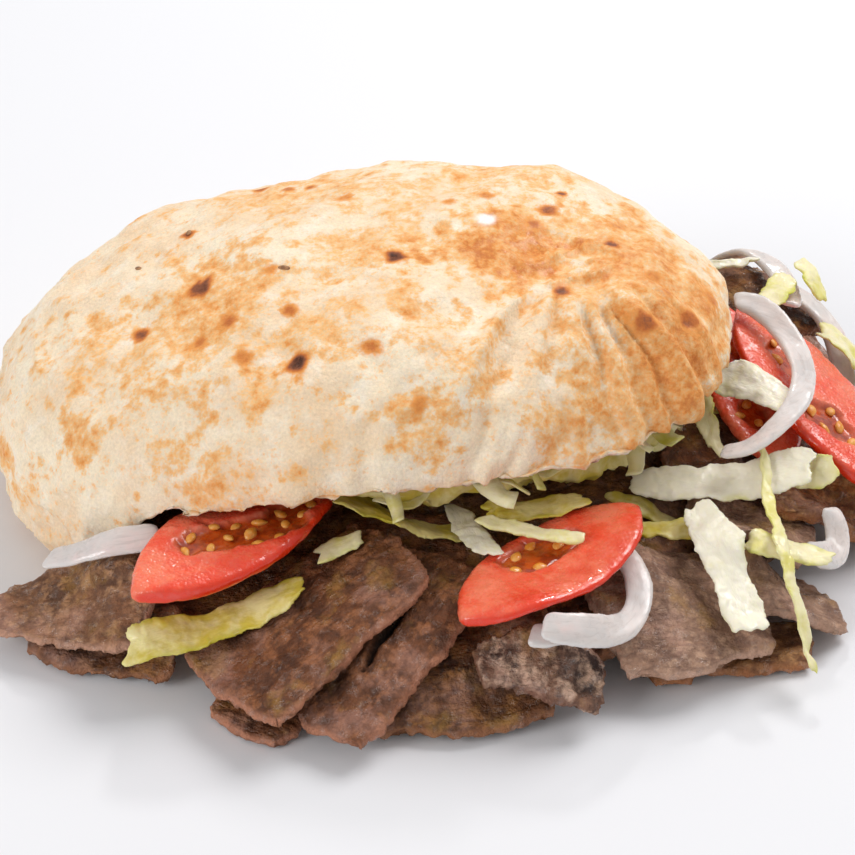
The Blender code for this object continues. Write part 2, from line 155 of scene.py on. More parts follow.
def relax(values, edges, rounds, share=0.5):
    # each row of values moves towards the mean of its neighbours
    rows = values.reshape(len(values), -1).copy()
    count = np.bincount(edges.ravel(), minlength=len(rows))
    count = np.maximum(count, 1)
    for _ in range(rounds):
        for column in range(rows.shape[1]):
            near = np.bincount(edges[:, 0], rows[edges[:, 1], column], len(rows))
            near += np.bincount(edges[:, 1], rows[edges[:, 0], column], len(rows))
            rows[:, column] += share * (near / count - rows[:, column])
    return rows.reshape(values.shape)


def putMasks(mesh, **masks):
    for name, values in masks.items():
        mask = mesh.attributes.new(name, "FLOAT", "POINT")
        mask.data.foreach_set("value", np.asarray(values, np.float32))


def putFlow(mesh, values):
    field = mesh.attributes.new("flow", "FLOAT_VECTOR", "POINT")
    field.data.foreach_set("vector", np.asarray(values, np.float32).ravel())


def newPiece(name, mesh, material):
    piece = addObject(name, mesh)
    mesh.materials.clear()
    mesh.materials.append(material)
    mesh.shade_smooth()
    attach(piece, "root")
    return piece


def finishPiece(node, mesh, material):
    # a CAD piece's name says its kind first, as in onion_left
    kind, _, rest = node.partition("_")
    piece = newPiece(kindNames[kind] + "_" + rest, mesh, material)
    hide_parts(node)
    return len(mesh.polygons)


def meshOf(bm, name):
    mesh = bpy.data.meshes.new(name)
    bm.to_mesh(mesh)
    bm.free()
    return mesh


def fineMesh(node, look, coarser=1):
    # the CAD solid's form as an even, smoothed net of small faces, its corners rounded first if asked
    rough = cadNodes[node].data.copy()
    bm = bmesh.new()
    bm.from_mesh(rough)
    bmesh.ops.remove_doubles(bm, verts=bm.verts[:], dist=0.01 * mm)
    bm.to_mesh(rough)
    bm.free()
    holder = addObject("holder", rough)
    if "rounded" in look:
        holder.modifiers.new("rounded", "SUBSURF").levels = look["rounded"]
    remesh = holder.modifiers.new("fine", "REMESH")
    remesh.mode = "VOXEL"
    remesh.voxel_size = look["voxel"] * coarser
    remesh.adaptivity = 0
    graph = bpy.context.evaluated_depsgraph_get()
    mesh = bpy.data.meshes.new_from_object(holder.evaluated_get(graph))
    bpy.data.objects.remove(holder)
    mesh.name = node
    edges = edgesOf(mesh)
    setPoints(mesh, relax(pointsOf(mesh), edges, look["smoothing"]))
    return mesh, pointsOf(mesh), normalsOf(mesh), edges


def treeOf(mesh):
    return BVHTree.FromPolygons([v.co for v in mesh.vertices], [p.vertices for p in mesh.polygons])


def mainAxes(points):
    # the long, the broad and the thin direction of a piece, and the points measured along them
    offset = points - points.mean(0)
    spread = np.linalg.eigh(np.cov(offset.T))[1]
    axes = spread[:, ::-1].T
    if axes[2, 2] < 0:
        axes[2] *= -1
    return axes, offset @ axes.T


# small tools for materials


def tone(red, green, blue):
    # a screen colour from 0 to 255 as the linear colour of a shader
    shares = [v / 255 for v in (red, green, blue)]
    return tuple(v / 12.92 if v <= 0.04045 else ((v + 0.055) / 1.055) ** 2.4 for v in shares) + (1,)


def perMetre(size):
    # a texture scale that gives features of this size in millimetres
    return 1000 / size


def feed(tree, socket, value):
    if isinstance(value, bpy.types.NodeSocket):
        tree.links.new(value, socket)
    else:
        socket.default_value = value


def addNode(tree, kind, inputs, **settings):
    node = tree.nodes.new(kind)
    for key, value in settings.items():
        setattr(node, key, value)
    for key, value in inputs.items():
        feed(tree, node.inputs[key], value)
    return node


def waveOf(tree, place, scale, detail, roughness, distortion=0.0):
    inputs = {
        "Vector": place, "Scale": scale, "Detail": detail, "Roughness": roughness, "Distortion": distortion,
    }
    return addNode(tree, "ShaderNodeTexNoise", inputs).outputs["Fac"]


def noiseOf(tree, place, size, detail=3):
    return waveOf(tree, place, perMetre(size), detail, 0.6)


def attributeOf(tree, name, output="Fac"):
    return addNode(tree, "ShaderNodeAttribute", {}, attribute_name=name).outputs[output]


def blended(tree, share, first, second, mode="MIX"):
    inputs = {0: share, 6: first, 7: second}
    return addNode(tree, "ShaderNodeMix", inputs, data_type="RGBA", blend_type=mode).outputs[2]


def worked(tree, operation, *values):
    return addNode(tree, "ShaderNodeMath", dict(enumerate(values)), operation=operation).outputs[0]


def times(tree, first, second):
    return worked(tree, "MULTIPLY", first, second)


def stepped(tree, value, low, high):
    inputs = {"Value": value, "From Min": low, "From Max": high}
    return addNode(tree, "ShaderNodeMapRange", inputs, interpolation_type="SMOOTHSTEP").outputs[0]


def newGroup(name, inputs, outputs):
    # an input with no value of its own is a vector
    group = bpy.data.node_groups.new(name, "ShaderNodeTree")
    for label, value in inputs.items():
        kind = "NodeSocketVector" if value is None else "NodeSocketFloat"
        socket = group.interface.new_socket(name=label, in_out="INPUT", socket_type=kind)
        if value is not None:
            socket.default_value = value
    for label in outputs:
        group.interface.new_socket(name=label, in_out="OUTPUT", socket_type="NodeSocketFloat")
    given = group.nodes.new("NodeGroupInput").outputs
    result = group.nodes.new("NodeGroupOutput").inputs
    return group, given, result


def makeMottleGroup():
    # uneven patches with soft edges
    inputs = {"Vector": None, "Scale": 100.0, "Low": 0.45, "High": 0.6}
    group, given, result = newGroup("unevenPatches", inputs, ["Mask"])
    wave = waveOf(group, given["Vector"], given["Scale"], 4.0, 0.62)
    group.links.new(stepped(group, wave, given["Low"], given["High"]), result["Mask"])
    return group


def makeWetGroup():
    # beads and films of juice and fat: where it is wet the surface is smoother and coated
    inputs = {
        "Vector": None, "Scale": 300.0, "Dry": 0.6, "Wet": 0.2, "Amount": 0.5, "Low": 0.42, "High": 0.62,
    }
    group, given, result = newGroup("juiceAndFat", inputs, ["Roughness", "Coat"])
    wave = waveOf(group, given["Vector"], given["Scale"], 3.0, 0.55)
    wetness = stepped(group, wave, given["Low"], given["High"])
    change = worked(group, "SUBTRACT", given["Wet"], given["Dry"])
    roughness = worked(group, "ADD", given["Dry"], times(group, wetness, change))
    group.links.new(roughness, result["Roughness"])
    group.links.new(times(group, wetness, given["Amount"]), result["Coat"])
    return group


def makeFibreGroup():
    # streaks that run along the first axis of the given field
    inputs = {"Flow": None, "Along": 100.0, "Across": 600.0}
    group, given, result = newGroup("fibres", inputs, ["Height"])
    sizes = addNode(group, "ShaderNodeCombineXYZ", {
        "X": given["Along"], "Y": given["Across"], "Z": given["Across"],
    }).outputs[0]
    place = addNode(group, "ShaderNodeVectorMath", {0: given["Flow"], 1: sizes}, operation="MULTIPLY")
    wave = waveOf(group, place.outputs[0], 1.0, 4.0, 0.6, 0.3)
    group.links.new(wave, result["Height"])
    return group


def makeCellGroup():
    # small rounded cells, high in the middle and low between
    inputs = {"Vector": None, "Scale": 800.0}
    group, given, result = newGroup("smallCells", inputs, ["Height"])
    bend = addNode(group, "ShaderNodeTexNoise", {"Vector": given["Vector"], "Scale": 220.0, "Detail": 2.0})
    shift = addNode(group, "ShaderNodeVectorMath", {0: bend.outputs["Color"], 1: (0.0016,) * 3},
                    operation="MULTIPLY")
    place = addNode(group, "ShaderNodeVectorMath", {0: given["Vector"], 1: shift.outputs[0]})
    cells = addNode(group, "ShaderNodeTexVoronoi", {
        "Vector": place.outputs[0], "Scale": given["Scale"], "Randomness": 1.0,
    })
    group.links.new(worked(group, "SUBTRACT", 1.0, cells.outputs["Distance"]), result["Height"])
    return group


mottleGroup = makeMottleGroup()
wetGroup = makeWetGroup()
fibreGroup = makeFibreGroup()
cellGroup = makeCellGroup()


def placed(tree, group, inputs):
    return addNode(tree, "ShaderNodeGroup", inputs, node_tree=group).outputs


def mottle(tree, place, size, low, high):
    inputs = {"Vector": place, "Scale": perMetre(size), "Low": low, "High": high}
    return placed(tree, mottleGroup, inputs)["Mask"]


def fibresOf(tree, flow, along, across):
    inputs = {"Flow": flow, "Along": perMetre(along), "Across": perMetre(across)}
    return placed(tree, fibreGroup, inputs)["Height"]


def cellsOf(tree, place, size):
    return placed(tree, cellGroup, {"Vector": place, "Scale": perMetre(size)})["Height"]


def tinted(tree, colour, mask, share, tint):
    # where the mask is 1, the tint takes this share of the colour
    return blended(tree, times(tree, mask, share), colour, tint)


def speckled(tree, place, colour, detail, spread, least):
    # fine light and dark specks
    fine = worked(tree, "MULTIPLY_ADD", noiseOf(tree, place, 0.8, detail), spread, least)
    return blended(tree, 1.0, colour, fine, "MULTIPLY")


def wetted(tree, shader, place, juice):
    # patches of juice or fat; the coat's share comes back, for a material that changes it
    made = placed(tree, wetGroup, {"Vector": place, **juice})
    tree.links.new(made["Roughness"], shader.inputs["Roughness"])
    tree.links.new(made["Coat"], shader.inputs["Coat Weight"])
    return made["Coat"]


def setInputs(shader, values):
    for name, value in values.items():
        shader.inputs[name].default_value = value


def startMaterial(name, plainColour, roughness):
    material = bpy.data.materials.new(name)
    material.use_nodes = True
    material.diffuse_color = plainColour
    tree = material.node_tree
    shader = tree.nodes["Principled BSDF"]
    shader.inputs["Roughness"].default_value = roughness
    place = tree.nodes.new("ShaderNodeTexCoord").outputs["Object"]
    return material, tree, shader, place


def bumped(tree, shader, height, strength, distance, wetToo=False):
    inputs = {"Height": height, "Strength": strength, "Distance": distance * mm}
    bump = addNode(tree, "ShaderNodeBump", inputs)
    tree.links.new(bump.outputs[0], shader.inputs["Normal"])
    if wetToo:
        # the film of juice follows the small lumps, so it glints
        tree.links.new(bump.outputs[0], shader.inputs["Coat Normal"])


# the bread

breadLook = {
    "voxel": 1.1 * mm,
    "smoothing": 8,
    "cream": tone(246, 228, 200),
    "creamWarm": tone(240, 210, 174),
    "flour": tone(252, 241, 224),
    "golden": tone(242, 192, 132),
    "toasted": tone(230, 154, 80),
    "toastedDeep": tone(198, 112, 52),
    "brown": tone(134, 78, 52),
    "burnt": tone(70, 34, 20),
    "crumb": tone(242, 224, 198),
    "peel": tone(250, 246, 240),
    "dent": 1.1 * mm,
    "wave": 1.1 * mm,
    "blister": 0.4 * mm,
    "pore": 0.12 * mm,
    "crumple": 3.2 * mm,
    "crumpleSink": 1.2 * mm,
    "cornerCrease": 0.8 * mm,
    "gather": 3.2 * mm,
    "hang": 6 * mm,
    "gatherWidth": 8.0,
    "ragged": 1.4 * mm,
    "crater": (0.765, 0.43),  # the crumpled place, as shares of the bread's box
    "valley": (0.62, 0.24),
    "valleyDepth": 2.2 * mm,
    "valleySize": (20, 9),
    "peelSpot": (0.665, 0.515),
    "smallMarks": (230, 0.9, 3.2),  # how many, the smallest and the largest
    "uneven": [(0.8, 1.0), (2.2, 1.3), (7.0, 1.4)],  # sizes in millimetres, and shares
    "juice": {"Scale": perMetre(4), "Dry": 0.8, "Wet": 0.44, "Amount": 0.5},
    "surface": {
        "Coat Roughness": 0.25, "Specular IOR Level": 0.32, "Subsurface Weight": 0.12,
        "Subsurface Radius": (1.0, 0.6, 0.35), "Subsurface Scale": 3 * mm,
    },
}

# the heat at which each colour starts and is full: all over the crust, then in the scorch marks
toastSteps = [("golden", 0.06, 0.55), ("toasted", 0.42, 0.95), ("toastedDeep", 0.8, 1.3)]
scorchSteps = [
    ("toasted", 0.02, 0.42), ("toastedDeep", 0.34, 0.66), ("brown", 0.6, 0.86), ("burnt", 0.82, 1.08),
]

# toast marks: share across and along the bread's box, radius in millimetres, how dark
scorchMarks = [
    (0.43, 0.17, 3.6, 1.0), (0.30, 0.41, 3.4, 0.9), (0.22, 0.36, 2.8, 0.85), (0.55, 0.40, 2.5, 1.0),
    (0.27, 0.61, 2.2, 0.8), (0.36, 0.79, 3.2, 0.7), (0.40, 0.74, 3.0, 0.65), (0.43, 0.73, 2.2, 0.65),
    (0.77, 0.65, 2.2, 0.95), (0.75, 0.58, 3.0, 0.75), (0.83, 0.48, 2.6, 0.9), (0.76, 0.33, 2.8, 0.8),
    (0.86, 0.28, 3.2, 0.75), (0.92, 0.34, 3.2, 0.7),
    (0.34, 0.30, 3.2, 0.6), (0.42, 0.29, 2.6, 0.6), (0.52, 0.17, 2.8, 0.6), (0.36, 0.21, 2.6, 0.5),
    (0.30, 0.28, 2.4, 0.5), (0.73, 0.53, 3.0, 0.55), (0.84, 0.56, 2.6, 0.5), (0.88, 0.41, 2.6, 0.5),
    (0.89, 0.37, 2.4, 0.5), (0.96, 0.45, 3.4, 0.5), (0.58, 0.08, 2.0, 0.45), (0.31, 0.36, 2.0, 0.45),
    (0.39, 0.40, 2.0, 0.5), (0.48, 0.62, 2.2, 0.45), (0.62, 0.58, 2.2, 0.45), (0.67, 0.60, 2.4, 0.5),
]
toastMarks = [
    (0.38, 0.38, 6, 0.6), (0.15, 0.19, 6, 0.75), (0.14, 0.29, 4, 0.6), (0.15, 0.46, 4, 0.5),
    (0.57, 0.46, 7, 0.6), (0.56, 0.27, 7, 0.65), (0.38, 0.13, 6, 0.6), (0.56, 0.07, 5, 0.6),
    (0.27, 0.10, 8, 0.5), (0.32, 0.05, 8, 0.5), (0.67, 0.31, 3, 0.7), (0.61, 0.49, 4, 0.6),
    (0.73, 0.17, 4, 0.6), (0.66, 0.12, 5, 0.6), (0.87, 0.62, 8, 0.6), (0.74, 0.69, 8, 0.6),
    (0.61, 0.02, 8, 0.6), (0.31, 0.34, 22, 0.62), (0.71, 0.46, 20, 0.95), (0.80, 0.36, 16, 0.6),
    (0.86, 0.46, 24, 0.75), (0.91, 0.26, 24, 0.85), (0.84, 0.16, 18, 0.6), (0.62, 0.16, 16, 0.35),
    (0.68, 0.72, 26, 0.45), (0.40, 0.74, 24, 0.5), (0.50, 0.43, 16, 0.42), (0.46, 0.22, 14, 0.4),
    (0.16, 0.37, 14, 0.35), (0.55, 0.62, 16, 0.4), (0.75, 0.09, 9, 0.55), (0.58, 0.05, 10, 0.45),
    (0.94, 0.42, 16, 0.7), (0.22, 0.24, 14, 0.32), (0.78, 0.24, 10, 0.5),
]


def breadSpot(across, along):
    return Vector((breadLow.x + across * breadSize.x, breadLow.y + along * breadSize.y, 0))


def breadTop(tree, across, along):
    # the highest point of the crust at a place, and the direction it faces
    above = breadSpot(across, along)
    above.z = breadHigh.z + 10 * mm
    return tree.ray_cast(above, Vector((0, 0, -1)))[:2]


def markField(points, tree, marks, wobble):
    # the strongest of the marks at each point, measured over the surface and not in plan
    field = np.zeros(len(points))
    for across, along, radius, dark in marks:
        middle = breadTop(tree, across, along)[0]
        if middle is None:
            continue
        away = lengthsOf(points - np.array(middle)) / (radius * mm)
        field = np.maximum(field, dark * ease(1.5, 0.25, away * (1 + wobble)))
    return field


def scatteredMarks(points, outer, rng, count, smallest, largest):
    # small marks all over the outside, the far side and the bottom too
    field = np.zeros(len(points))
    choice = np.flatnonzero(outer > 0.9)
    for _ in range(count):
        middle = points[choice[rng.randrange(len(choice))]]
        radius = rng.uniform(smallest, largest) * mm
        dark = rng.uniform(0.35, 0.75)
        near = np.flatnonzero(np.abs(points - middle).max(1) < 2 * radius)
        away = lengthsOf(points[near] - middle) / radius
        field[near] = np.maximum(field[near], dark * ease(1.4, 0.3, away))
    return field


def insideShare(points, normals, edges, tree):
    # 1 on the walls of the pocket, which face other bread, and 0 on the outside
    hits = np.zeros(len(points))
    for index, (point, normal) in enumerate(zip(points, normals)):
        start = Vector(point + normal * 0.4 * mm)
        hits[index] = tree.ray_cast(start, Vector(normal), breadSize.length)[0] is not None
    return relax(hits, edges, 6)


def makeBread():
    look = breadLook
    mesh, points, normals, edges = fineMesh("bread", look)
    tree = treeOf(mesh)
    inside = insideShare(points, normals, edges, tree)
    outer = 1 - ease(0.25, 0.75, inside)
    lip = ease(0.08, 0.4, inside) * ease(0.97, 0.6, inside)

    wobble = 0.5 * lumps(points, 5 * mm, 3) + 0.35 * lumps(points, 2.2 * mm, 4)
    burn = markField(points, tree, scorchMarks, 0.7 * wobble) * outer
    toast = markField(points, tree, toastMarks, wobble) * outer
    rng = random.Random(11)
    toast = np.maximum(toast, scatteredMarks(points, outer, rng, *look["smallMarks"]) * outer)
    under = ease(-0.3, -0.8, normals[:, 2])
    toast = np.maximum(toast, under * (0.45 + 0.35 * lumps(points, 16 * mm, 6)) * outer)
    across = (points[:, 0] - breadLow.x) / breadSize.x
    height = (points[:, 2] - breadLow.z) / breadSize.z
    fold = ease(0.12, 0.03, np.abs(height - 0.24)) * ease(0.14, 0.0, across)
    fold *= 0.55 + 0.6 * lumps(points, 17 * mm, 18)
    toast = np.maximum(toast, 0.8 * fold * outer)

    # the crumpled, blistered place at the top right, and gathers that run from it to the lip
    crater = np.array(breadSpot(*look["crater"]))
    offset = points[:, :2] - crater[:2]
    away = lengthsOf(offset)
    heading = np.degrees(np.arctan2(offset[:, 1], offset[:, 0]))
    up = ease(0.1, 0.5, normals[:, 2])
    crumpled = ease(21 * mm, 7 * mm, away) * up * outer
    bent = heading + 5 * lumps(points, 24 * mm, 8)
    rays = np.stack([bent / look["gatherWidth"], away / (50 * mm), np.zeros(len(points))], 1)
    gathers = 0.7 * lumps(rays, 1, 13, 1) + 0.4 * lumps(rays * (2.2, 1.6, 1), 1, 17, 1)
    sector = ease(-150, -120, heading) * ease(-8, -35, heading)
    sector = sector * ease(12 * mm, 26 * mm, away) * ease(95 * mm, 70 * mm, away) * outer
    corner = ease(0.24, 0.08, across) * ease(0.75, 0.4, height) * outer
    creases = ridges(points * (0.5, 0.5, 1.5), 7 * mm, 9)
    valley = np.array(breadSpot(*look["valley"]))
    run = (points - valley)[:, :2] / np.array(look["valleySize"]) / mm
    hollow = ease(1.3, 0.1, lengthsOf(run)) * up * outer

    lift = look["dent"] * lumps(points, 36 * mm, 1, 1)
    lift += look["wave"] * lumps(points, 13 * mm, 2)
    lift += look["blister"] * lumps(points, 5 * mm, 5) + look["pore"] * lumps(points, 2.4 * mm, 7)
    wrinkles = 0.65 * ridges(points, 10 * mm, 12) + 0.45 * ridges(points, 5 * mm, 19)
    lift += crumpled * (look["crumple"] * (wrinkles - 0.4) - look["crumpleSink"])
    lift += sector * look["gather"] * gathers
    lift += corner * look["cornerCrease"] * (creases - 0.3)
    lift -= hollow * look["valleyDepth"]
    lift *= 0.35 + 0.65 * outer
    moved = points + normals * lift[:, None]

    # the torn edge of the pocket
    frill = 0.65 * lumps(points, 5 * mm, 14) + 0.35 * lumps(points, 2.2 * mm, 15)
    outwards = points[:, :2] - np.array(breadMiddle)[:2]
    outwards /= np.maximum(lengthsOf(outwards), mm)[:, None]
    moved[:, :2] += outwards * (lip * frill * look["ragged"])[:, None]
    moved[:, 2] += lip * look["ragged"] * lumps(points, 4 * mm, 16)

    # at the left the lip hangs lower, and its edge is drawn out evenly
    along = (points[:, 1] - breadLow.y) / breadSize.y
    hanging = ease(0.28, 0.2, across) * ease(0.5, 0.38, along)
    hanging *= ease(16 * mm, 23 * mm, points[:, 2])
    nearLip = np.clip(6 * relax(lip, edges, 18), 0, 1) * hanging
    even = relax(moved, edges, 30)
    moved += nearLip[:, None] * (even - moved)
    moved[:, 2] -= look["hang"] * nearLip
    moved[:, 2] = np.maximum(moved[:, 2], breadLow.z)
    setPoints(mesh, moved)

    peel = lengthsOf(points[:, :2] - np.array(breadSpot(*look["peelSpot"]))[:2])
    peelShape = peel * (1 + 0.6 * wobble)
    crumb = np.clip(1 - outer + 0.5 * lip, 0, 1)
    peel = ease(3.4 * mm, 1.6 * mm, peelShape) * up * outer
    putMasks(mesh, toast=toast, burn=burn, crumb=crumb, peel=peel, shine=crumpled)
    piece = newPiece("breadCrust", mesh, breadMaterial())
    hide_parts("bread")
    print("bread", len(mesh.polygons))
    return mesh


def breadMaterial():
    look = breadLook
    material, tree, shader, place = startMaterial("flatbreadCrust", look["cream"], 0.8)
    colour = blended(tree, mottle(tree, place, 26, 0.36, 0.66), look["cream"], look["creamWarm"])
    colour = tinted(tree, colour, mottle(tree, place, 8, 0.46, 0.74), 0.6, look["flour"])
    uneven = 0.0
    for size, share in look["uneven"]:
        part = times(tree, worked(tree, "SUBTRACT", noiseOf(tree, place, size, 4), 0.5), share)
        uneven = worked(tree, "ADD", part, uneven)
    heat = worked(tree, "ADD", attributeOf(tree, "toast"), uneven)
    charred = worked(tree, "ADD", attributeOf(tree, "burn"), times(tree, uneven, 0.32))
    for value, steps in ((heat, toastSteps), (charred, scorchSteps)):
        for name, low, high in steps:
            colour = blended(tree, stepped(tree, value, low, high), colour, look[name])
    soft = blended(tree, mottle(tree, place, 2.5, 0.4, 0.62), look["crumb"], look["flour"])
    colour = tinted(tree, colour, attributeOf(tree, "crumb"), 0.85, soft)
    colour = blended(tree, attributeOf(tree, "peel"), colour, look["peel"])
    colour = speckled(tree, place, colour, 3, 0.5, 0.77)
    tree.links.new(colour, shader.inputs["Base Color"])

    coat = wetted(tree, shader, place, look["juice"])
    baked = times(tree, attributeOf(tree, "shine"), stepped(tree, heat, 0.4, 0.9))
    tree.links.new(times(tree, coat, baked), shader.inputs["Coat Weight"])
    cells = times(tree, cellsOf(tree, place, 1.5), 0.35)
    height = worked(tree, "ADD", cells, noiseOf(tree, place, 0.9, 4))
    bumped(tree, shader, height, 0.7, 0.5)
    setInputs(shader, look["surface"])
    return material


# the meat

meatLook = {
    "voxel": 0.92 * mm,
    "smoothing": 2,
    "bedShare": (1.5, 2.2),  # how much coarser the bed's net is, and how much more it swells
    "fibre": 0.36 * mm,
    "grain": 0.3 * mm,
    "swell": 0.7 * mm,
    "crease": 0.45 * mm,
    "crackle": 1.1 * mm,
    "splitDepth": 3.0 * mm,
    "ragged": 1.5 * mm,
    "gold": tone(186, 140, 66),
    "pink": tone(192, 146, 132),
    "burnt": tone(48, 34, 32),
    # painted shade: the near-black colour laid in the splits, where shade falls in the crack
    "shadeInSplit": tone(34, 20, 14),
    "juice": {"Scale": perMetre(2.6), "Dry": 0.55, "Low": 0.5, "High": 0.64},
    "surface": {"Coat Roughness": 0.07, "Specular IOR Level": 0.35},
}


def finish(dark, mid, light, edge, wet, char=0.0):
    # three colours of the cut face, the colour of the slice's sides (their own seared colour, and where
    # paler partly a painted highlight), how wet it is and how charred
    return {
        "dark": tone(*dark), "mid": tone(*mid), "light": tone(*light), "edge": tone(*edge),
        "wet": wet, "char": char,
    }


meatFinishes = {
    "roast": finish((82, 48, 30), (126, 76, 46), (160, 102, 64), (196, 132, 102), 0.9),
    "mild": finish((100, 66, 46), (150, 102, 70), (186, 138, 100), (208, 158, 132), 0.9),
    "seared": finish((72, 43, 27), (116, 71, 40), (156, 104, 56), (166, 110, 76), 0.9, 0.2),
    "rosy": finish((124, 92, 76), (168, 130, 106), (194, 156, 130), (206, 164, 140), 0.8),
    "glazed": finish((100, 60, 36), (158, 108, 68), (196, 144, 92), (176, 112, 70), 1.0),
    "crisp": finish((64, 44, 38), (146, 106, 84), (222, 184, 158), (120, 76, 56), 1.0, 0.6),
    "rind": finish((160, 92, 50), (208, 138, 82), (232, 170, 112), (156, 94, 60), 0.6, 0.15),
}

meatPieces = {
    "meat_bed": "seared", "meat_lower_left": "seared", "meat_under_bit": "roast",
    "meat_lower_right": "glazed", "meat_lip_inner": "roast", "meat_mid_shadow": "seared",
    "meat_front_middle": "seared", "meat_right_broad": "rosy", "meat_right_end": "rosy",
    "meat_right_upper": "rosy", "meat_mouth_right": "roast", "meat_side_low": "rosy",
    "meat_side_front": "glazed", "meat_back_low": "roast", "meat_side_back": "seared",
    "meat_back_tip": "rind", "meat_left_tip": "mild", "meat_torn_right": "roast",
    "meat_torn_left": "roast", "meat_crisp": "crisp",
}

# splits in a slice, as shares of its box: from x, y to x, y, then the width in millimetres
meatSplits = {
    "meat_torn_right": [(0.32, 0.30, 0.60, 0.74, 2.4)],
    "meat_right_broad": [(0.12, 0.10, 0.30, 0.45, 1.0)],
}


def splitField(points, low, high, splits):
    field = np.zeros(len(points))
    size = high - low
    for fromX, fromY, toX, toY, width in splits:
        start = np.array([low.x + fromX * size.x, low.y + fromY * size.y])
        run = np.array([low.x + toX * size.x, low.y + toY * size.y]) - start
        spot = points[:, :2] - start
        share = np.clip(spot @ run / (run @ run), 0, 1)
        wander = 0.8 * mm * lumps(points, 6 * mm, 31)
        away = np.abs(lengthsOf(spot - share[:, None] * run) + wander)
        narrow = width * mm * np.sin(np.pi * np.clip(share, 0.04, 0.96))
        field = np.maximum(field, ease(1.2, 0.3, away / narrow))
    return field


def makeMeat(node, order):
    look = meatLook
    bed = node == "meat_bed"
    coarser, swollen = look["bedShare"] if bed else (1, 1)
    mesh, points, normals, edges = fineMesh(node, look, coarser)
    axes, flow = mainAxes(points)
    low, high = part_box(node)
    seed = 100 + order * 7

    level = np.abs(normals @ axes[2])
    rim = ease(0.75, 0.25, level)
    stretched = flow * (0.22, 1, 1)
    lift = look["fibre"] * lumps(stretched, 1.9 * mm, seed, 3)
    lift += look["grain"] * lumps(points, 1.9 * mm, seed + 1, 2)
    lift += look["swell"] * lumps(points, 7 * mm, seed + 2, 2) * swollen
    lift -= look["crease"] * ridges(stretched, 4.5 * mm, seed + 3)
    if meatPieces[node] in ("crisp", "rind"):
        lift += look["crackle"] * (ridges(flow * (1, 0.4, 1), 3.4 * mm, seed + 4) - 0.3)
    split = splitField(points, low, high, meatSplits.get(node, []))
    lift -= look["splitDepth"] * split * ease(0.2, 0.6, normals[:, 2])
    moved = points + normals * lift[:, None]
    frill = 0.6 * lumps(points * (1, 1, 0.4), 4.2 * mm, seed + 5)
    frill += 0.4 * lumps(points * (1, 1, 0.6), 1.7 * mm, seed + 6)
    sideways = normals - np.outer(normals @ axes[2], axes[2])
    moved += sideways * (rim * frill * look["ragged"])[:, None]
    moved[:, 2] = np.maximum(moved[:, 2], 0.15 * mm)
    setPoints(mesh, moved)

    putFlow(mesh, flow)
    putMasks(mesh, rim=relax(rim, edges, 3), split=split)
    return finishPiece(node, mesh, meatMaterials[meatPieces[node]])


def meatMaterial(name):
    look = {**meatLook, **meatFinishes[name]}
    material, tree, shader, place = startMaterial(name + "Meat", look["mid"], 0.5)
    flow = attributeOf(tree, "flow", "Vector")
    fibres = fibresOf(tree, flow, 7, 1.7)
    cells = cellsOf(tree, flow, 1.9)

    colour = blended(tree, mottle(tree, place, 9, 0.34, 0.64), look["dark"], look["mid"])
    colour = blended(tree, mottle(tree, flow, 4, 0.44, 0.66), colour, look["light"])
    colour = tinted(tree, colour, stepped(tree, fibres, 0.5, 0.34), 0.5, look["dark"])
    colour = tinted(tree, colour, mottle(tree, place, 13, 0.52, 0.68), 0.45, look["gold"])
    colour = tinted(tree, colour, mottle(tree, flow, 17, 0.52, 0.66), 0.35, look["pink"])
    # painted shade: the low gaps between the granules, which the bump also sinks, are darkened
    colour = tinted(tree, colour, stepped(tree, cells, 0.45, 0.15), 0.45, look["dark"])
    patches = mottle(tree, place, 6, 0.26, 0.5)
    # the slice's sides take the edge colour in patches: their own colour, and where it is paler partly a
    # painted highlight
    colour = tinted(tree, colour, attributeOf(tree, "rim"), patches, look["edge"])
    if look["char"]:
        reach = mottle(tree, place, 11, 0.6 - 0.2 * look["char"], 0.72)
        colour = tinted(tree, colour, reach, look["char"], look["burnt"])
    # painted shade: the split's floor takes a near-black colour, the shade in the crack
    colour = blended(tree, attributeOf(tree, "split"), colour, look["shadeInSplit"])
    colour = speckled(tree, place, colour, 4, 0.6, 0.7)
    tree.links.new(colour, shader.inputs["Base Color"])

    wet = look["wet"]
    wetted(tree, shader, place, {**look["juice"], "Wet": 0.24 - 0.12 * wet, "Amount": wet})
    height = worked(tree, "ADD", times(tree, cells, 0.6), fibres)
    height = worked(tree, "ADD", height, times(tree, noiseOf(tree, place, 0.7, 4), 0.8))
    bumped(tree, shader, height, 1.0, 0.8, wetToo=True)
    setInputs(shader, look["surface"])
    return material


# the tomatoes

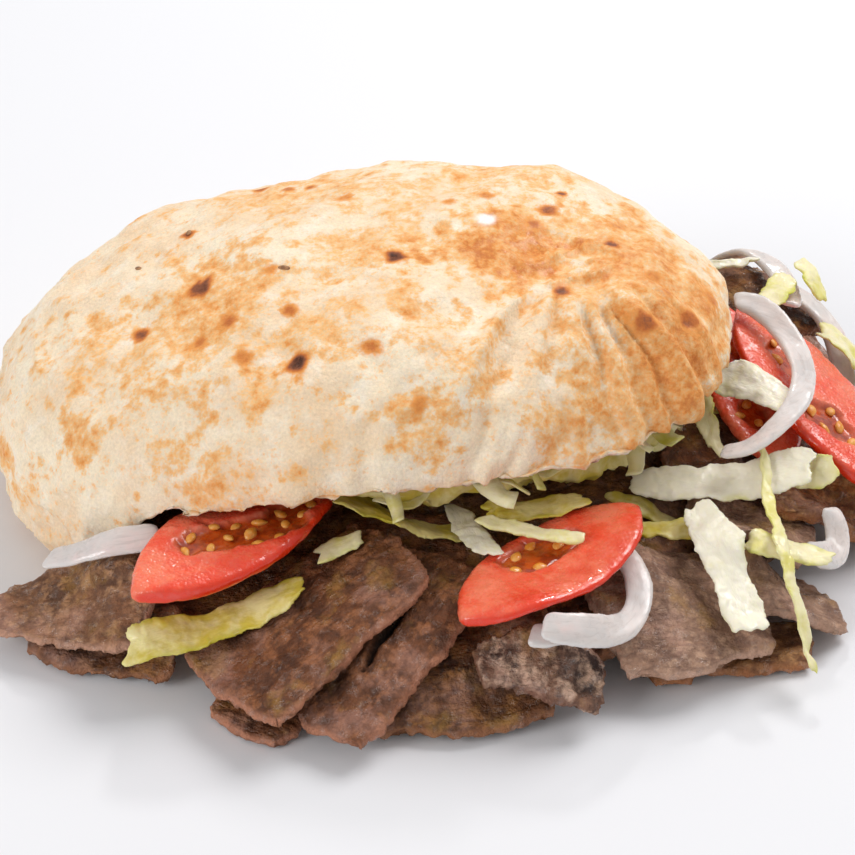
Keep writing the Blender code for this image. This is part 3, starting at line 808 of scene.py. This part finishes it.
tomatoLook = {
    "voxel": 0.6 * mm,
    "rounded": 2,
    "smoothing": 2,
    "flesh": tone(240, 82, 52),
    "fleshPale": tone(247, 128, 96),
    "fleshDeep": tone(224, 54, 32),
    "skin": tone(234, 52, 12),
    # painted highlight: the pale pinkish-white line along the gel chambers' edges
    "bank": tone(248, 170, 142),
    "gel": tone(206, 84, 22),
    "gelDeep": tone(154, 50, 14),
    "seed": tone(230, 146, 50),
    "seedPale": tone(240, 178, 92),
    "skinWidth": 0.8 * mm,
    "gelDepth": 1.9 * mm,
    "gelWave": 0.45 * mm,
    "bankHeight": 0.35 * mm,
    "wave": 0.22 * mm,
    "grain": 0.1 * mm,
    "seedLength": 4.3 * mm,
    "seedShares": (1, 0.7, 0.42),
    "seedTaper": 0.55,
    "seedSides": (14, 9),
    "seedGap": 5.6 * mm,
    "bowPower": 0.68,
    "juice": {"Scale": perMetre(2.6), "Dry": 0.36, "Wet": 0.14, "Amount": 0.9},
    "surface": {
        "Coat Roughness": 0.07, "Subsurface Weight": 0.22,
        "Subsurface Radius": (1.0, 0.25, 0.1), "Subsurface Scale": 3 * mm,
    },
    "seedJuice": {"Scale": perMetre(1.5), "Dry": 0.4, "Wet": 0.2, "Amount": 0.4},
}

# for each slice: heading of the knife cut in degrees, the cut side's share of the width, and its
# chambers of gel: middle along and across, half length and half width, and slope, all as shares
tomatoSlices = {
    "tomato_front_left": (53, 0.371, [(-0.10, 0.60, 0.42, 0.24, 0.65), (0.30, 0.72, 0.2, 0.16, 0.4)]),
    "tomato_middle": (41, 0.484, [(-0.02, 0.32, 0.36, 0.2, 0.05)]),
    "tomato_side_upper": (104, 0.423, [(0.42, 0.56, 0.24, 0.17, 0.1), (-0.40, 0.40, 0.2, 0.18, 0.0)]),
    "tomato_side_lower": (-56, 0.471, [(0.25, 0.62, 0.22, 0.18, -0.3), (-0.34, 0.5, 0.26, 0.18, 0.0)]),
}


def sliceField(points, heading, cutShare):
    # along the slice from -1 to 1, and across it from 0 at the knife cut to 1 at the skin
    turn = math.radians(heading)
    along = points[:, :2] @ np.array([math.cos(turn), math.sin(turn)])
    across = points[:, :2] @ np.array([math.sin(turn), -math.cos(turn)])
    half = (along.max() - along.min()) / 2
    u = (along - (along.max() + along.min()) / 2) / half
    width = across.max() - across.min()
    bow = np.clip(1 - u * u, 0, 1) ** tomatoLook["bowPower"] * 0.94 + 0.06
    w = ((across - across.min() - width * cutShare) / bow + width * cutShare) / width
    return u, w, bow * width


def chamberField(u, w, chambers, wobble):
    field = np.zeros(len(u))
    for middleU, middleW, halfU, halfW, slope in chambers:
        du = (u - middleU) / halfU
        dw = (w - middleW - slope * (u - middleU)) / halfW
        field = np.maximum(field, ease(1.15, 0.85, np.sqrt(du * du + dw * dw) + wobble))
    return field


def makeTomato(node, order, seedSpots, rng):
    look = tomatoLook
    heading, cutShare, chambers = tomatoSlices[node]
    mesh, points, normals, edges = fineMesh(node, look)
    u, w, width = sliceField(points, heading, cutShare)
    seed = 300 + order * 9
    faceUp = ease(0.35, 0.7, np.abs(normals[:, 2]))
    wobble = 0.2 * lumps(points, 5 * mm, seed) + 0.1 * lumps(points, 2 * mm, seed + 1)
    gel = relax(chamberField(u, w, chambers, wobble) * faceUp, edges, 2)
    # the raised bank around each gel chamber, whose mask also carries a painted highlight
    bank = relax(gel, edges, 9) * (1 - gel)
    skin = ease(look["skinWidth"] * 1.6, look["skinWidth"] * 0.5, (1 - w) * width)
    side = ease(0.6, 0.3, np.abs(normals[:, 2])) * ease(0.6, 0.8, w)
    skin = relax(np.maximum(skin, side), edges, 2)

    lift = look["wave"] * lumps(points, 9 * mm, seed + 2)
    lift += look["grain"] * lumps(points, 1.3 * mm, seed + 3, 3) * (1 - gel) * (1 - skin)
    lift += look["bankHeight"] * ease(0.1, 0.5, bank)
    lift -= gel * (look["gelDepth"] - look["gelWave"] * (0.5 + 0.5 * lumps(points, 4 * mm, seed + 4)))
    setPoints(mesh, points + normals * lift[:, None])

    rays = np.cos(u * 14 + 3 * lumps(points, 8 * mm, seed + 5))
    putFlow(mesh, np.stack([w * width, u * 0.03, points[:, 2]], 1))
    wall = ease(0.62, 0.8, w) * (0.7 + 0.3 * rays)
    putMasks(mesh, gel=gel, bank=ease(0.12, 0.4, bank), skin=skin, wall=wall)

    # seeds lie in the chambers of the upper face
    floor = list(np.flatnonzero((gel > 0.75) & (normals[:, 2] > 0.6)))
    rng.shuffle(floor)
    kept = []
    for index in floor:
        spot = Vector(points[index] + normals[index] * lift[index])
        if all((spot - other).length > look["seedGap"] for other in kept):
            kept.append(spot)
            seedSpots.append((spot, Vector(normals[index])))
    return finishPiece(node, mesh, tomatoFlesh)


def addGrain(bm, sides, size, frame, taper=0.0):
    # a smooth grain of the given length, breadth and thickness, slimmer towards its tip
    made = bmesh.ops.create_uvsphere(bm, u_segments=sides[0], v_segments=sides[1], radius=0.5)["verts"]
    for v in made:
        slim = 1 - taper * max(0.0, v.co.x * 2) ** 1.5
        v.co = Vector((v.co.x * size[0], v.co.y * size[1] * slim, v.co.z * size[2] * slim))
    bmesh.ops.transform(bm, verts=made, matrix=frame)


def facingOf(normal):
    return normal.to_track_quat("Z", "Y").to_matrix().to_4x4()


def makeSeeds(spots, rng):
    look = tomatoLook
    bm = bmesh.new()
    for spot, normal in spots:
        length = look["seedLength"] * rng.uniform(0.8, 1.1)
        spin = Matrix.Rotation(rng.uniform(0, math.tau), 4, "Z")
        tip = Matrix.Rotation(rng.uniform(-0.5, 0.5), 4, "X")
        tip = tip @ Matrix.Rotation(rng.uniform(-0.35, 0.35), 4, "Y")
        lifted = Matrix.Translation(spot + normal * rng.uniform(0.0, 0.4) * mm)
        size = [length * share for share in look["seedShares"]]
        addGrain(bm, look["seedSides"], size, lifted @ facingOf(normal) @ spin @ tip, look["seedTaper"])
    newPiece("tomatoSeeds", meshOf(bm, "tomatoSeeds"), seedMaterial())


def tomatoMaterial():
    look = tomatoLook
    material, tree, shader, place = startMaterial("tomatoFlesh", look["flesh"], 0.3)
    gel = attributeOf(tree, "gel")
    skin = attributeOf(tree, "skin")
    lines = fibresOf(tree, attributeOf(tree, "flow", "Vector"), 7, 1.4)
    cells = cellsOf(tree, place, 0.95)

    colour = blended(tree, mottle(tree, place, 10, 0.36, 0.66), look["flesh"], look["fleshPale"])
    colour = tinted(tree, colour, stepped(tree, lines, 0.5, 0.72), 0.5, look["fleshPale"])
    colour = tinted(tree, colour, attributeOf(tree, "wall"), 0.55, look["fleshDeep"])
    # painted highlight: a pale pinkish-white line along each gel chamber's edge, over the flesh's paler rim
    colour = tinted(tree, colour, attributeOf(tree, "bank"), 0.65, look["bank"])
    wet = blended(tree, mottle(tree, place, 4, 0.4, 0.62), look["gel"], look["gelDeep"])
    colour = blended(tree, gel, colour, wet)
    colour = blended(tree, skin, colour, look["skin"])
    tree.links.new(colour, shader.inputs["Base Color"])

    coat = wetted(tree, shader, place, look["juice"])
    coat = worked(tree, "MAXIMUM", coat, worked(tree, "MAXIMUM", gel, times(tree, skin, 0.3)))
    tree.links.new(coat, shader.inputs["Coat Weight"])
    rough = worked(tree, "SUBTRACT", 1.0, worked(tree, "MAXIMUM", gel, skin))
    bumped(tree, shader, times(tree, worked(tree, "ADD", cells, lines), rough), 0.5, 0.35)
    setInputs(shader, look["surface"])
    return material


def seedMaterial():
    look = tomatoLook
    material, tree, shader, place = startMaterial("tomatoSeed", look["seed"], 0.25)
    colour = blended(tree, mottle(tree, place, 1.6, 0.4, 0.64), look["seed"], look["seedPale"])
    tree.links.new(colour, shader.inputs["Base Color"])
    wetted(tree, shader, place, look["seedJuice"])
    bumped(tree, shader, noiseOf(tree, place, 0.6, 3), 0.3, 0.15, wetToo=True)
    return material


# the onions

onionLook = {
    "voxel": 0.5 * mm,
    "rounded": 2,
    "smoothing": 3,
    "white": tone(226, 215, 210),
    "cool": tone(212, 206, 203),
    "blush": tone(230, 208, 204),
    "line": tone(186, 174, 168),
    "rim": tone(240, 236, 232),
    "wave": 0.22 * mm,
    "grain": 0.05 * mm,
    "groove": 0.06 * mm,
    "grooveGap": 1.1 * mm,
    "lean": {"onion_left": 0.6, "onion_middle": 0.35},
    "juice": {"Scale": perMetre(6), "Dry": 0.42, "Wet": 0.24, "Amount": 0.5},
    "surface": {
        "Coat Roughness": 0.12, "Subsurface Weight": 0.45,
        "Subsurface Radius": (1.0, 0.85, 0.75), "Subsurface Scale": 3 * mm,
    },
}

# each ring's middle, in millimetres from the middle of the bread
onionRings = {
    "onion_left": (-61.7, -36.8), "onion_scrap": (46.3, -89.2), "onion_middle": (50.8, -79.7),
    "onion_side_low": (113.3, -49.2), "onion_back_low": (111.3, 14.8), "onion_back": (84.3, 26.8),
    "onion_side": (101.8, -11.7),
}


def makeOnion(node, order):
    look = onionLook
    mesh, points, normals, edges = fineMesh(node, look)
    seed = 500 + order * 5
    middle = np.array(breadMiddle)[:2] + np.array(onionRings[node]) * mm
    out = points[:, :2] - middle
    radius = lengthsOf(out)
    heading = np.arctan2(out[:, 1], out[:, 0])
    level = np.abs(normals[:, 2])
    lift = look["wave"] * lumps(points, 8 * mm, seed) + look["grain"] * lumps(points, 1.6 * mm, seed + 1)
    lines = np.sin(radius / look["grooveGap"] + 1.5 * lumps(points, 12 * mm, seed + 2))
    lift += look["groove"] * lines * ease(0.3, 0.7, level)
    moved = points + normals * lift[:, None]
    # towards the front a ring leans, so that its flat side shows
    lean = look["lean"].get(node, 0) * np.clip(-np.sin(heading), 0, 1) ** 1.5
    moved[:, 2] += lean * (radius.max() - radius)
    setPoints(mesh, moved)
    putFlow(mesh, np.stack([heading * 0.025, radius, points[:, 2]], 1))
    putMasks(mesh, rim=relax(ease(0.7, 0.3, level), edges, 3))
    return finishPiece(node, mesh, onionFlesh)


def onionMaterial():
    look = onionLook
    material, tree, shader, place = startMaterial("onionFlesh", look["white"], 0.35)
    lines = fibresOf(tree, attributeOf(tree, "flow", "Vector"), 16, 0.9)
    colour = blended(tree, mottle(tree, place, 14, 0.38, 0.64), look["white"], look["cool"])
    colour = tinted(tree, colour, mottle(tree, place, 18, 0.5, 0.66), 0.7, look["blush"])
    colour = tinted(tree, colour, stepped(tree, lines, 0.5, 0.3), 0.4, look["line"])
    colour = tinted(tree, colour, attributeOf(tree, "rim"), 0.5, look["rim"])
    tree.links.new(colour, shader.inputs["Base Color"])
    wetted(tree, shader, place, look["juice"])
    bumped(tree, shader, lines, 0.25, 0.25)
    setInputs(shader, look["surface"])
    return material


# the lettuce

lettuceLook = {
    "voxel": 0.44 * mm,
    "rounded": 1,
    "smoothing": 1,
    "crinkle": 1.0 * mm,
    "pucker": 0.2 * mm,
    "ragged": 1.0 * mm,
    "torn": 2.4 * mm,
    "juice": {"Scale": perMetre(3.2), "Dry": 0.5, "Wet": 0.3, "Amount": 0.35},
    "surface": {
        "Coat Roughness": 0.12, "Subsurface Weight": 0.3,
        "Subsurface Radius": (0.8, 1.0, 0.35), "Subsurface Scale": 2 * mm,
    },
}

# for each finish: the pale rib, the leaf and the green of the edge, and how much of each strip is green
lettuceFinishes = {
    "green": (tone(238, 224, 158), tone(214, 194, 76), tone(190, 176, 42), 0.6),
    "fresh": (tone(240, 230, 184), tone(224, 214, 122), tone(198, 198, 60), 0.45),
    "pale": (tone(242, 236, 214), tone(230, 222, 176), tone(206, 200, 112), 0.22),
}

lettuceStrips = {
    "lettuce_under_tomato": "green", "lettuce_corner": "fresh", "lettuce_lip_left": "green",
    "lettuce_lip_fall": "pale", "lettuce_lip_right": "green", "lettuce_short_low": "green",
    "lettuce_short_high": "green", "lettuce_cross": "fresh", "lettuce_side_pale": "fresh",
    "lettuce_hollow": "fresh", "lettuce_back_edge": "fresh", "lettuce_long": "pale",
    "lettuce_broad": "pale", "lettuce_thin": "fresh", "lettuce_fold": "pale",
    "lettuce_back_wisp": "pale", "lettuce_back_bits": "fresh", "lettuce_back_curl": "fresh",
    "lettuce_on_tomato": "fresh",
}


def makeLettuce(node, order):
    look = lettuceLook
    mesh, points, normals, edges = fineMesh(node, look)
    axes, flow = mainAxes(points)
    seed = 700 + order * 6
    plan = points * (1, 1, 0)
    level = np.abs(normals @ axes[2])
    side = np.abs(flow[:, 1]) / np.abs(flow[:, 1]).max()
    # both faces take the same wave, so that the leaf stays thin
    wave = look["crinkle"] * lumps(plan, 6.5 * mm, seed) * (0.45 + 0.55 * side)
    wave += look["pucker"] * lumps(plan, 2.2 * mm, seed + 1)
    moved = points + np.outer(wave, axes[2])
    drift = np.stack([lumps(plan, 4 * mm, seed + 2, 3), lumps(plan, 4 * mm, seed + 3, 3)], 1)
    moved[:, :2] += drift * look["ragged"] * (0.3 + 0.7 * side)[:, None]
    endShare = np.abs(flow[:, 0]) / np.abs(flow[:, 0]).max()
    torn = lumps(flow * (0.1, 1, 0), 2.6 * mm, seed + 4) * ease(0.6, 1.0, endShare)
    moved += np.outer(torn * look["torn"], axes[0])
    moved[:, 2] = np.maximum(moved[:, 2], 0.1 * mm)
    setPoints(mesh, moved)
    putFlow(mesh, flow)
    rim = relax(ease(0.7, 0.3, level), edges, 2)
    putMasks(mesh, side=relax(side, edges, 2), rim=rim)
    return finishPiece(node, mesh, lettuceMaterials[lettuceStrips[node]])


def lettuceMaterial(name):
    pale, leaf, green, share = lettuceFinishes[name]
    material, tree, shader, place = startMaterial(name + "Lettuce", leaf, 0.4)
    veins = fibresOf(tree, attributeOf(tree, "flow", "Vector"), 7, 2.4)
    low = 0.62 - 0.35 * share
    colour = blended(tree, mottle(tree, place, 11, low, low + 0.2), pale, leaf)
    patches = mottle(tree, place, 16, low - 0.06, low + 0.16)
    colour = tinted(tree, colour, stepped(tree, attributeOf(tree, "side"), 0.55, 1.0), patches, green)
    colour = tinted(tree, colour, stepped(tree, veins, 0.56, 0.7), 0.5, pale)
    colour = tinted(tree, colour, attributeOf(tree, "rim"), 0.35, green)
    tree.links.new(colour, shader.inputs["Base Color"])
    wetted(tree, shader, place, lettuceLook["juice"])
    height = worked(tree, "ADD", veins, times(tree, cellsOf(tree, place, 1.8), 0.3))
    bumped(tree, shader, height, 0.7, 0.5, wetToo=True)
    setInputs(shader, lettuceLook["surface"])
    return material


# the shredded salad in the pocket

saladLook = {
    "voxel": 1.5 * mm,
    "smoothing": 3,
    "shreds": 46,
    "length": (14 * mm, 30 * mm),
    "width": (3.5 * mm, 7 * mm),
    "thick": 0.5 * mm,
    "steps": 16,
    "heap": 1.6 * mm,
    "fold": 0.7 * mm,
    "sink": 1.2 * mm,
    "rise": 1.4 * mm,
    "droop": 3 * mm,
}


def ribbon(bm, spots, width, thick, tilt):
    # a thin flat strip along a list of points, closed at both ends
    rows = []
    for index, spot in enumerate(spots):
        before, after = spots[max(0, index - 1)], spots[min(len(spots) - 1, index + 1)]
        run = (after - before).normalized()
        across = run.cross(Vector((0, 0, 1))).normalized()
        up = across.cross(run)
        across = (across * math.cos(tilt) + up * math.sin(tilt)) * width / 2
        share = index / (len(spots) - 1)
        across *= 0.55 + 0.45 * math.sin(math.pi * min(1, max(0.12, share)))
        lift = across.cross(run).normalized() * thick / 2
        corners = (-across - lift, across - lift, across + lift, -across + lift)
        rows.append([bm.verts.new(spot + corner) for corner in corners])
    for row, following in zip(rows, rows[1:]):
        for side in range(4):
            after = (side + 1) % 4
            bm.faces.new((row[side], row[after], following[after], following[side]))
    bm.faces.new(rows[0][::-1])
    bm.faces.new(rows[-1])


def makeSalad():
    look = saladLook
    mesh, points, normals, _ = fineMesh("salad_bed", look)
    lift = look["heap"] * lumps(points, 5 * mm, 901) + look["fold"] * ridges(points, 4 * mm, 902)
    setPoints(mesh, points + normals * (lift - look["sink"])[:, None])
    putFlow(mesh, mainAxes(points)[1])
    putMasks(mesh, side=0.5 + 0.5 * lumps(points, 6 * mm, 903), rim=np.zeros(len(points)))
    core = newPiece("saladHeap", mesh, lettuceMaterials["green"])
    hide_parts("salad_bed")

    rng = random.Random(41)
    towardsMouth = normals[:, 0] * 0.6 - normals[:, 1] * 0.8
    edgeSpots = np.flatnonzero((towardsMouth > 0.15) & (normals[:, 2] > -0.2))
    bm = bmesh.new()
    for _ in range(look["shreds"]):
        index = edgeSpots[rng.randrange(len(edgeSpots))]
        middle = Vector(points[index]) + Vector(normals[index]) * rng.uniform(-1.2, 0.4) * mm
        heading = rng.uniform(0, math.tau)
        length = rng.uniform(*look["length"])
        bend = rng.uniform(-1.4, 1.4)
        spots = []
        for step in range(look["steps"]):
            share = step / (look["steps"] - 1) - 0.5
            turn = heading + bend * share
            rise = look["rise"] * math.sin(share * 9 + heading) - abs(share) * look["droop"]
            reach = Vector((math.cos(turn), math.sin(turn), 0)) * share * length
            spots.append(middle + reach + Vector((0, 0, rise)))
        ribbon(bm, spots, rng.uniform(*look["width"]), look["thick"], rng.uniform(-0.5, 0.5))
    bmesh.ops.recalc_face_normals(bm, faces=bm.faces[:])
    shreds = meshOf(bm, "saladShreds")
    spots = pointsOf(shreds)
    shift = np.stack([lumps(spots, 3 * mm, seed) for seed in (904, 905, 906)], 1)
    setPoints(shreds, spots + 0.3 * mm * shift)
    putFlow(shreds, spots)
    putMasks(shreds, side=0.5 + 0.5 * lumps(spots, 8 * mm, 907), rim=np.zeros(len(spots)))
    newPiece("saladShreds", shreds, lettuceMaterials["fresh"])


# small things on the crust

flakeLook = {
    "spots": [(0.407, 0.398, 20), (0.27, 0.615, 35), (0.205, 0.55, 60)],  # shares of the bread, and heading
    "sides": (16, 10),
    "size": (3.6 * mm, 1.5 * mm, 0.7 * mm),
    "husk": tone(134, 92, 58),
    "huskPale": tone(176, 128, 84),
}


def makeFlakes(breadMesh):
    # husks of grain baked into the crust
    look = flakeLook
    tree = treeOf(breadMesh)
    bm = bmesh.new()
    for across, along, heading in look["spots"]:
        spot, normal = breadTop(tree, across, along)
        spin = Matrix.Rotation(math.radians(heading), 4, "Z")
        addGrain(bm, look["sides"], look["size"], Matrix.Translation(spot) @ facingOf(normal) @ spin)
    material, tree, shader, place = startMaterial("grainHusk", look["husk"], 0.6)
    colour = blended(tree, mottle(tree, place, 1.2, 0.4, 0.62), look["husk"], look["huskPale"])
    tree.links.new(colour, shader.inputs["Base Color"])
    bumped(tree, shader, noiseOf(tree, place, 0.5, 3), 0.4, 0.2)
    newPiece("grainHusks", meshOf(bm, "grainHusks"), material)


# floor, light and camera

stageLook = {
    "floor": tone(234, 234, 237),
    "floorSize": 6.0,
    "aimHeight": 0.03,
    "sky": 0.46,
    "key": {"place": (0.75, 0.55, 1.15), "size": 0.9, "power": 13},
    "fill": {"place": (-1.1, -0.85, 0.75), "size": 0.8, "power": 9.5},
    "glint": {"place": (0.1, 1.05, 1.0), "size": 0.16, "power": 3.2},
}

cameraLook = {
    "lens": 100,
    "elevation": 36,
    "distance": 640 * mm,
    "aim": (18.3 * mm, -19.2 * mm, 30 * mm),  # from the middle of the bread's foot
}


def makeStage():
    look = stageLook
    bpy.ops.mesh.primitive_plane_add(size=look["floorSize"], location=(0, 0, 0))
    floor = bpy.context.object
    floor.name = "floor"
    material, _, shader, _ = startMaterial("paleFloor", look["floor"], 0.6)
    setInputs(shader, {"Base Color": look["floor"], "Specular IOR Level": 0.2})
    floor.data.materials.append(material)

    world = bpy.data.worlds.new("softStudio")
    world.use_nodes = True
    setInputs(world.node_tree.nodes["Background"], {"Color": (1, 1, 1, 1), "Strength": look["sky"]})
    bpy.context.scene.world = world
    aim = Vector((breadMiddle.x, breadMiddle.y, look["aimHeight"]))
    for name in ("key", "fill", "glint"):
        lamp = bpy.data.lights.new(name, "AREA")
        lamp.shape = "DISK"
        lamp.size = look[name]["size"]
        lamp.energy = look[name]["power"]
        light = addObject(name, lamp)
        light.location = aim + Vector(look[name]["place"])
        light.rotation_euler = (aim - light.location).to_track_quat("-Z", "Y").to_euler()
    bpy.context.scene.view_settings.view_transform = "Standard"


def makeCamera():
    look = cameraLook
    data = bpy.data.cameras.new("camera")
    data.lens = look["lens"]
    camera = addObject("camera", data)
    aim = Vector((breadMiddle.x, breadMiddle.y, 0)) + Vector(look["aim"])
    rise = math.radians(look["elevation"])
    back = Vector((0, -math.cos(rise), math.sin(rise)))
    camera.location = aim + back * look["distance"]
    camera.rotation_euler = (-back).to_track_quat("-Z", "Y").to_euler()
    bpy.context.scene.camera = camera


# everything together

meatMaterials = {name: meatMaterial(name) for name in meatFinishes}
lettuceMaterials = {name: lettuceMaterial(name) for name in lettuceFinishes}
tomatoFlesh = tomatoMaterial()
onionFlesh = onionMaterial()

makeFlakes(makeBread())

print("meat", sum(makeMeat(node, order) for order, node in enumerate(meatPieces)))

seedSpots = []
seedRandom = random.Random(5)
faces = sum(makeTomato(node, order, seedSpots, seedRandom) for order, node in enumerate(tomatoSlices))
makeSeeds(seedSpots, seedRandom)
print("tomato", faces, "seeds", len(seedSpots))

print("onion", sum(makeOnion(node, order) for order, node in enumerate(onionRings)))

faces = sum(makeLettuce(node, order) for order, node in enumerate(lettuceStrips))
makeSalad()
print("lettuce", faces)

makeStage()
makeCamera()
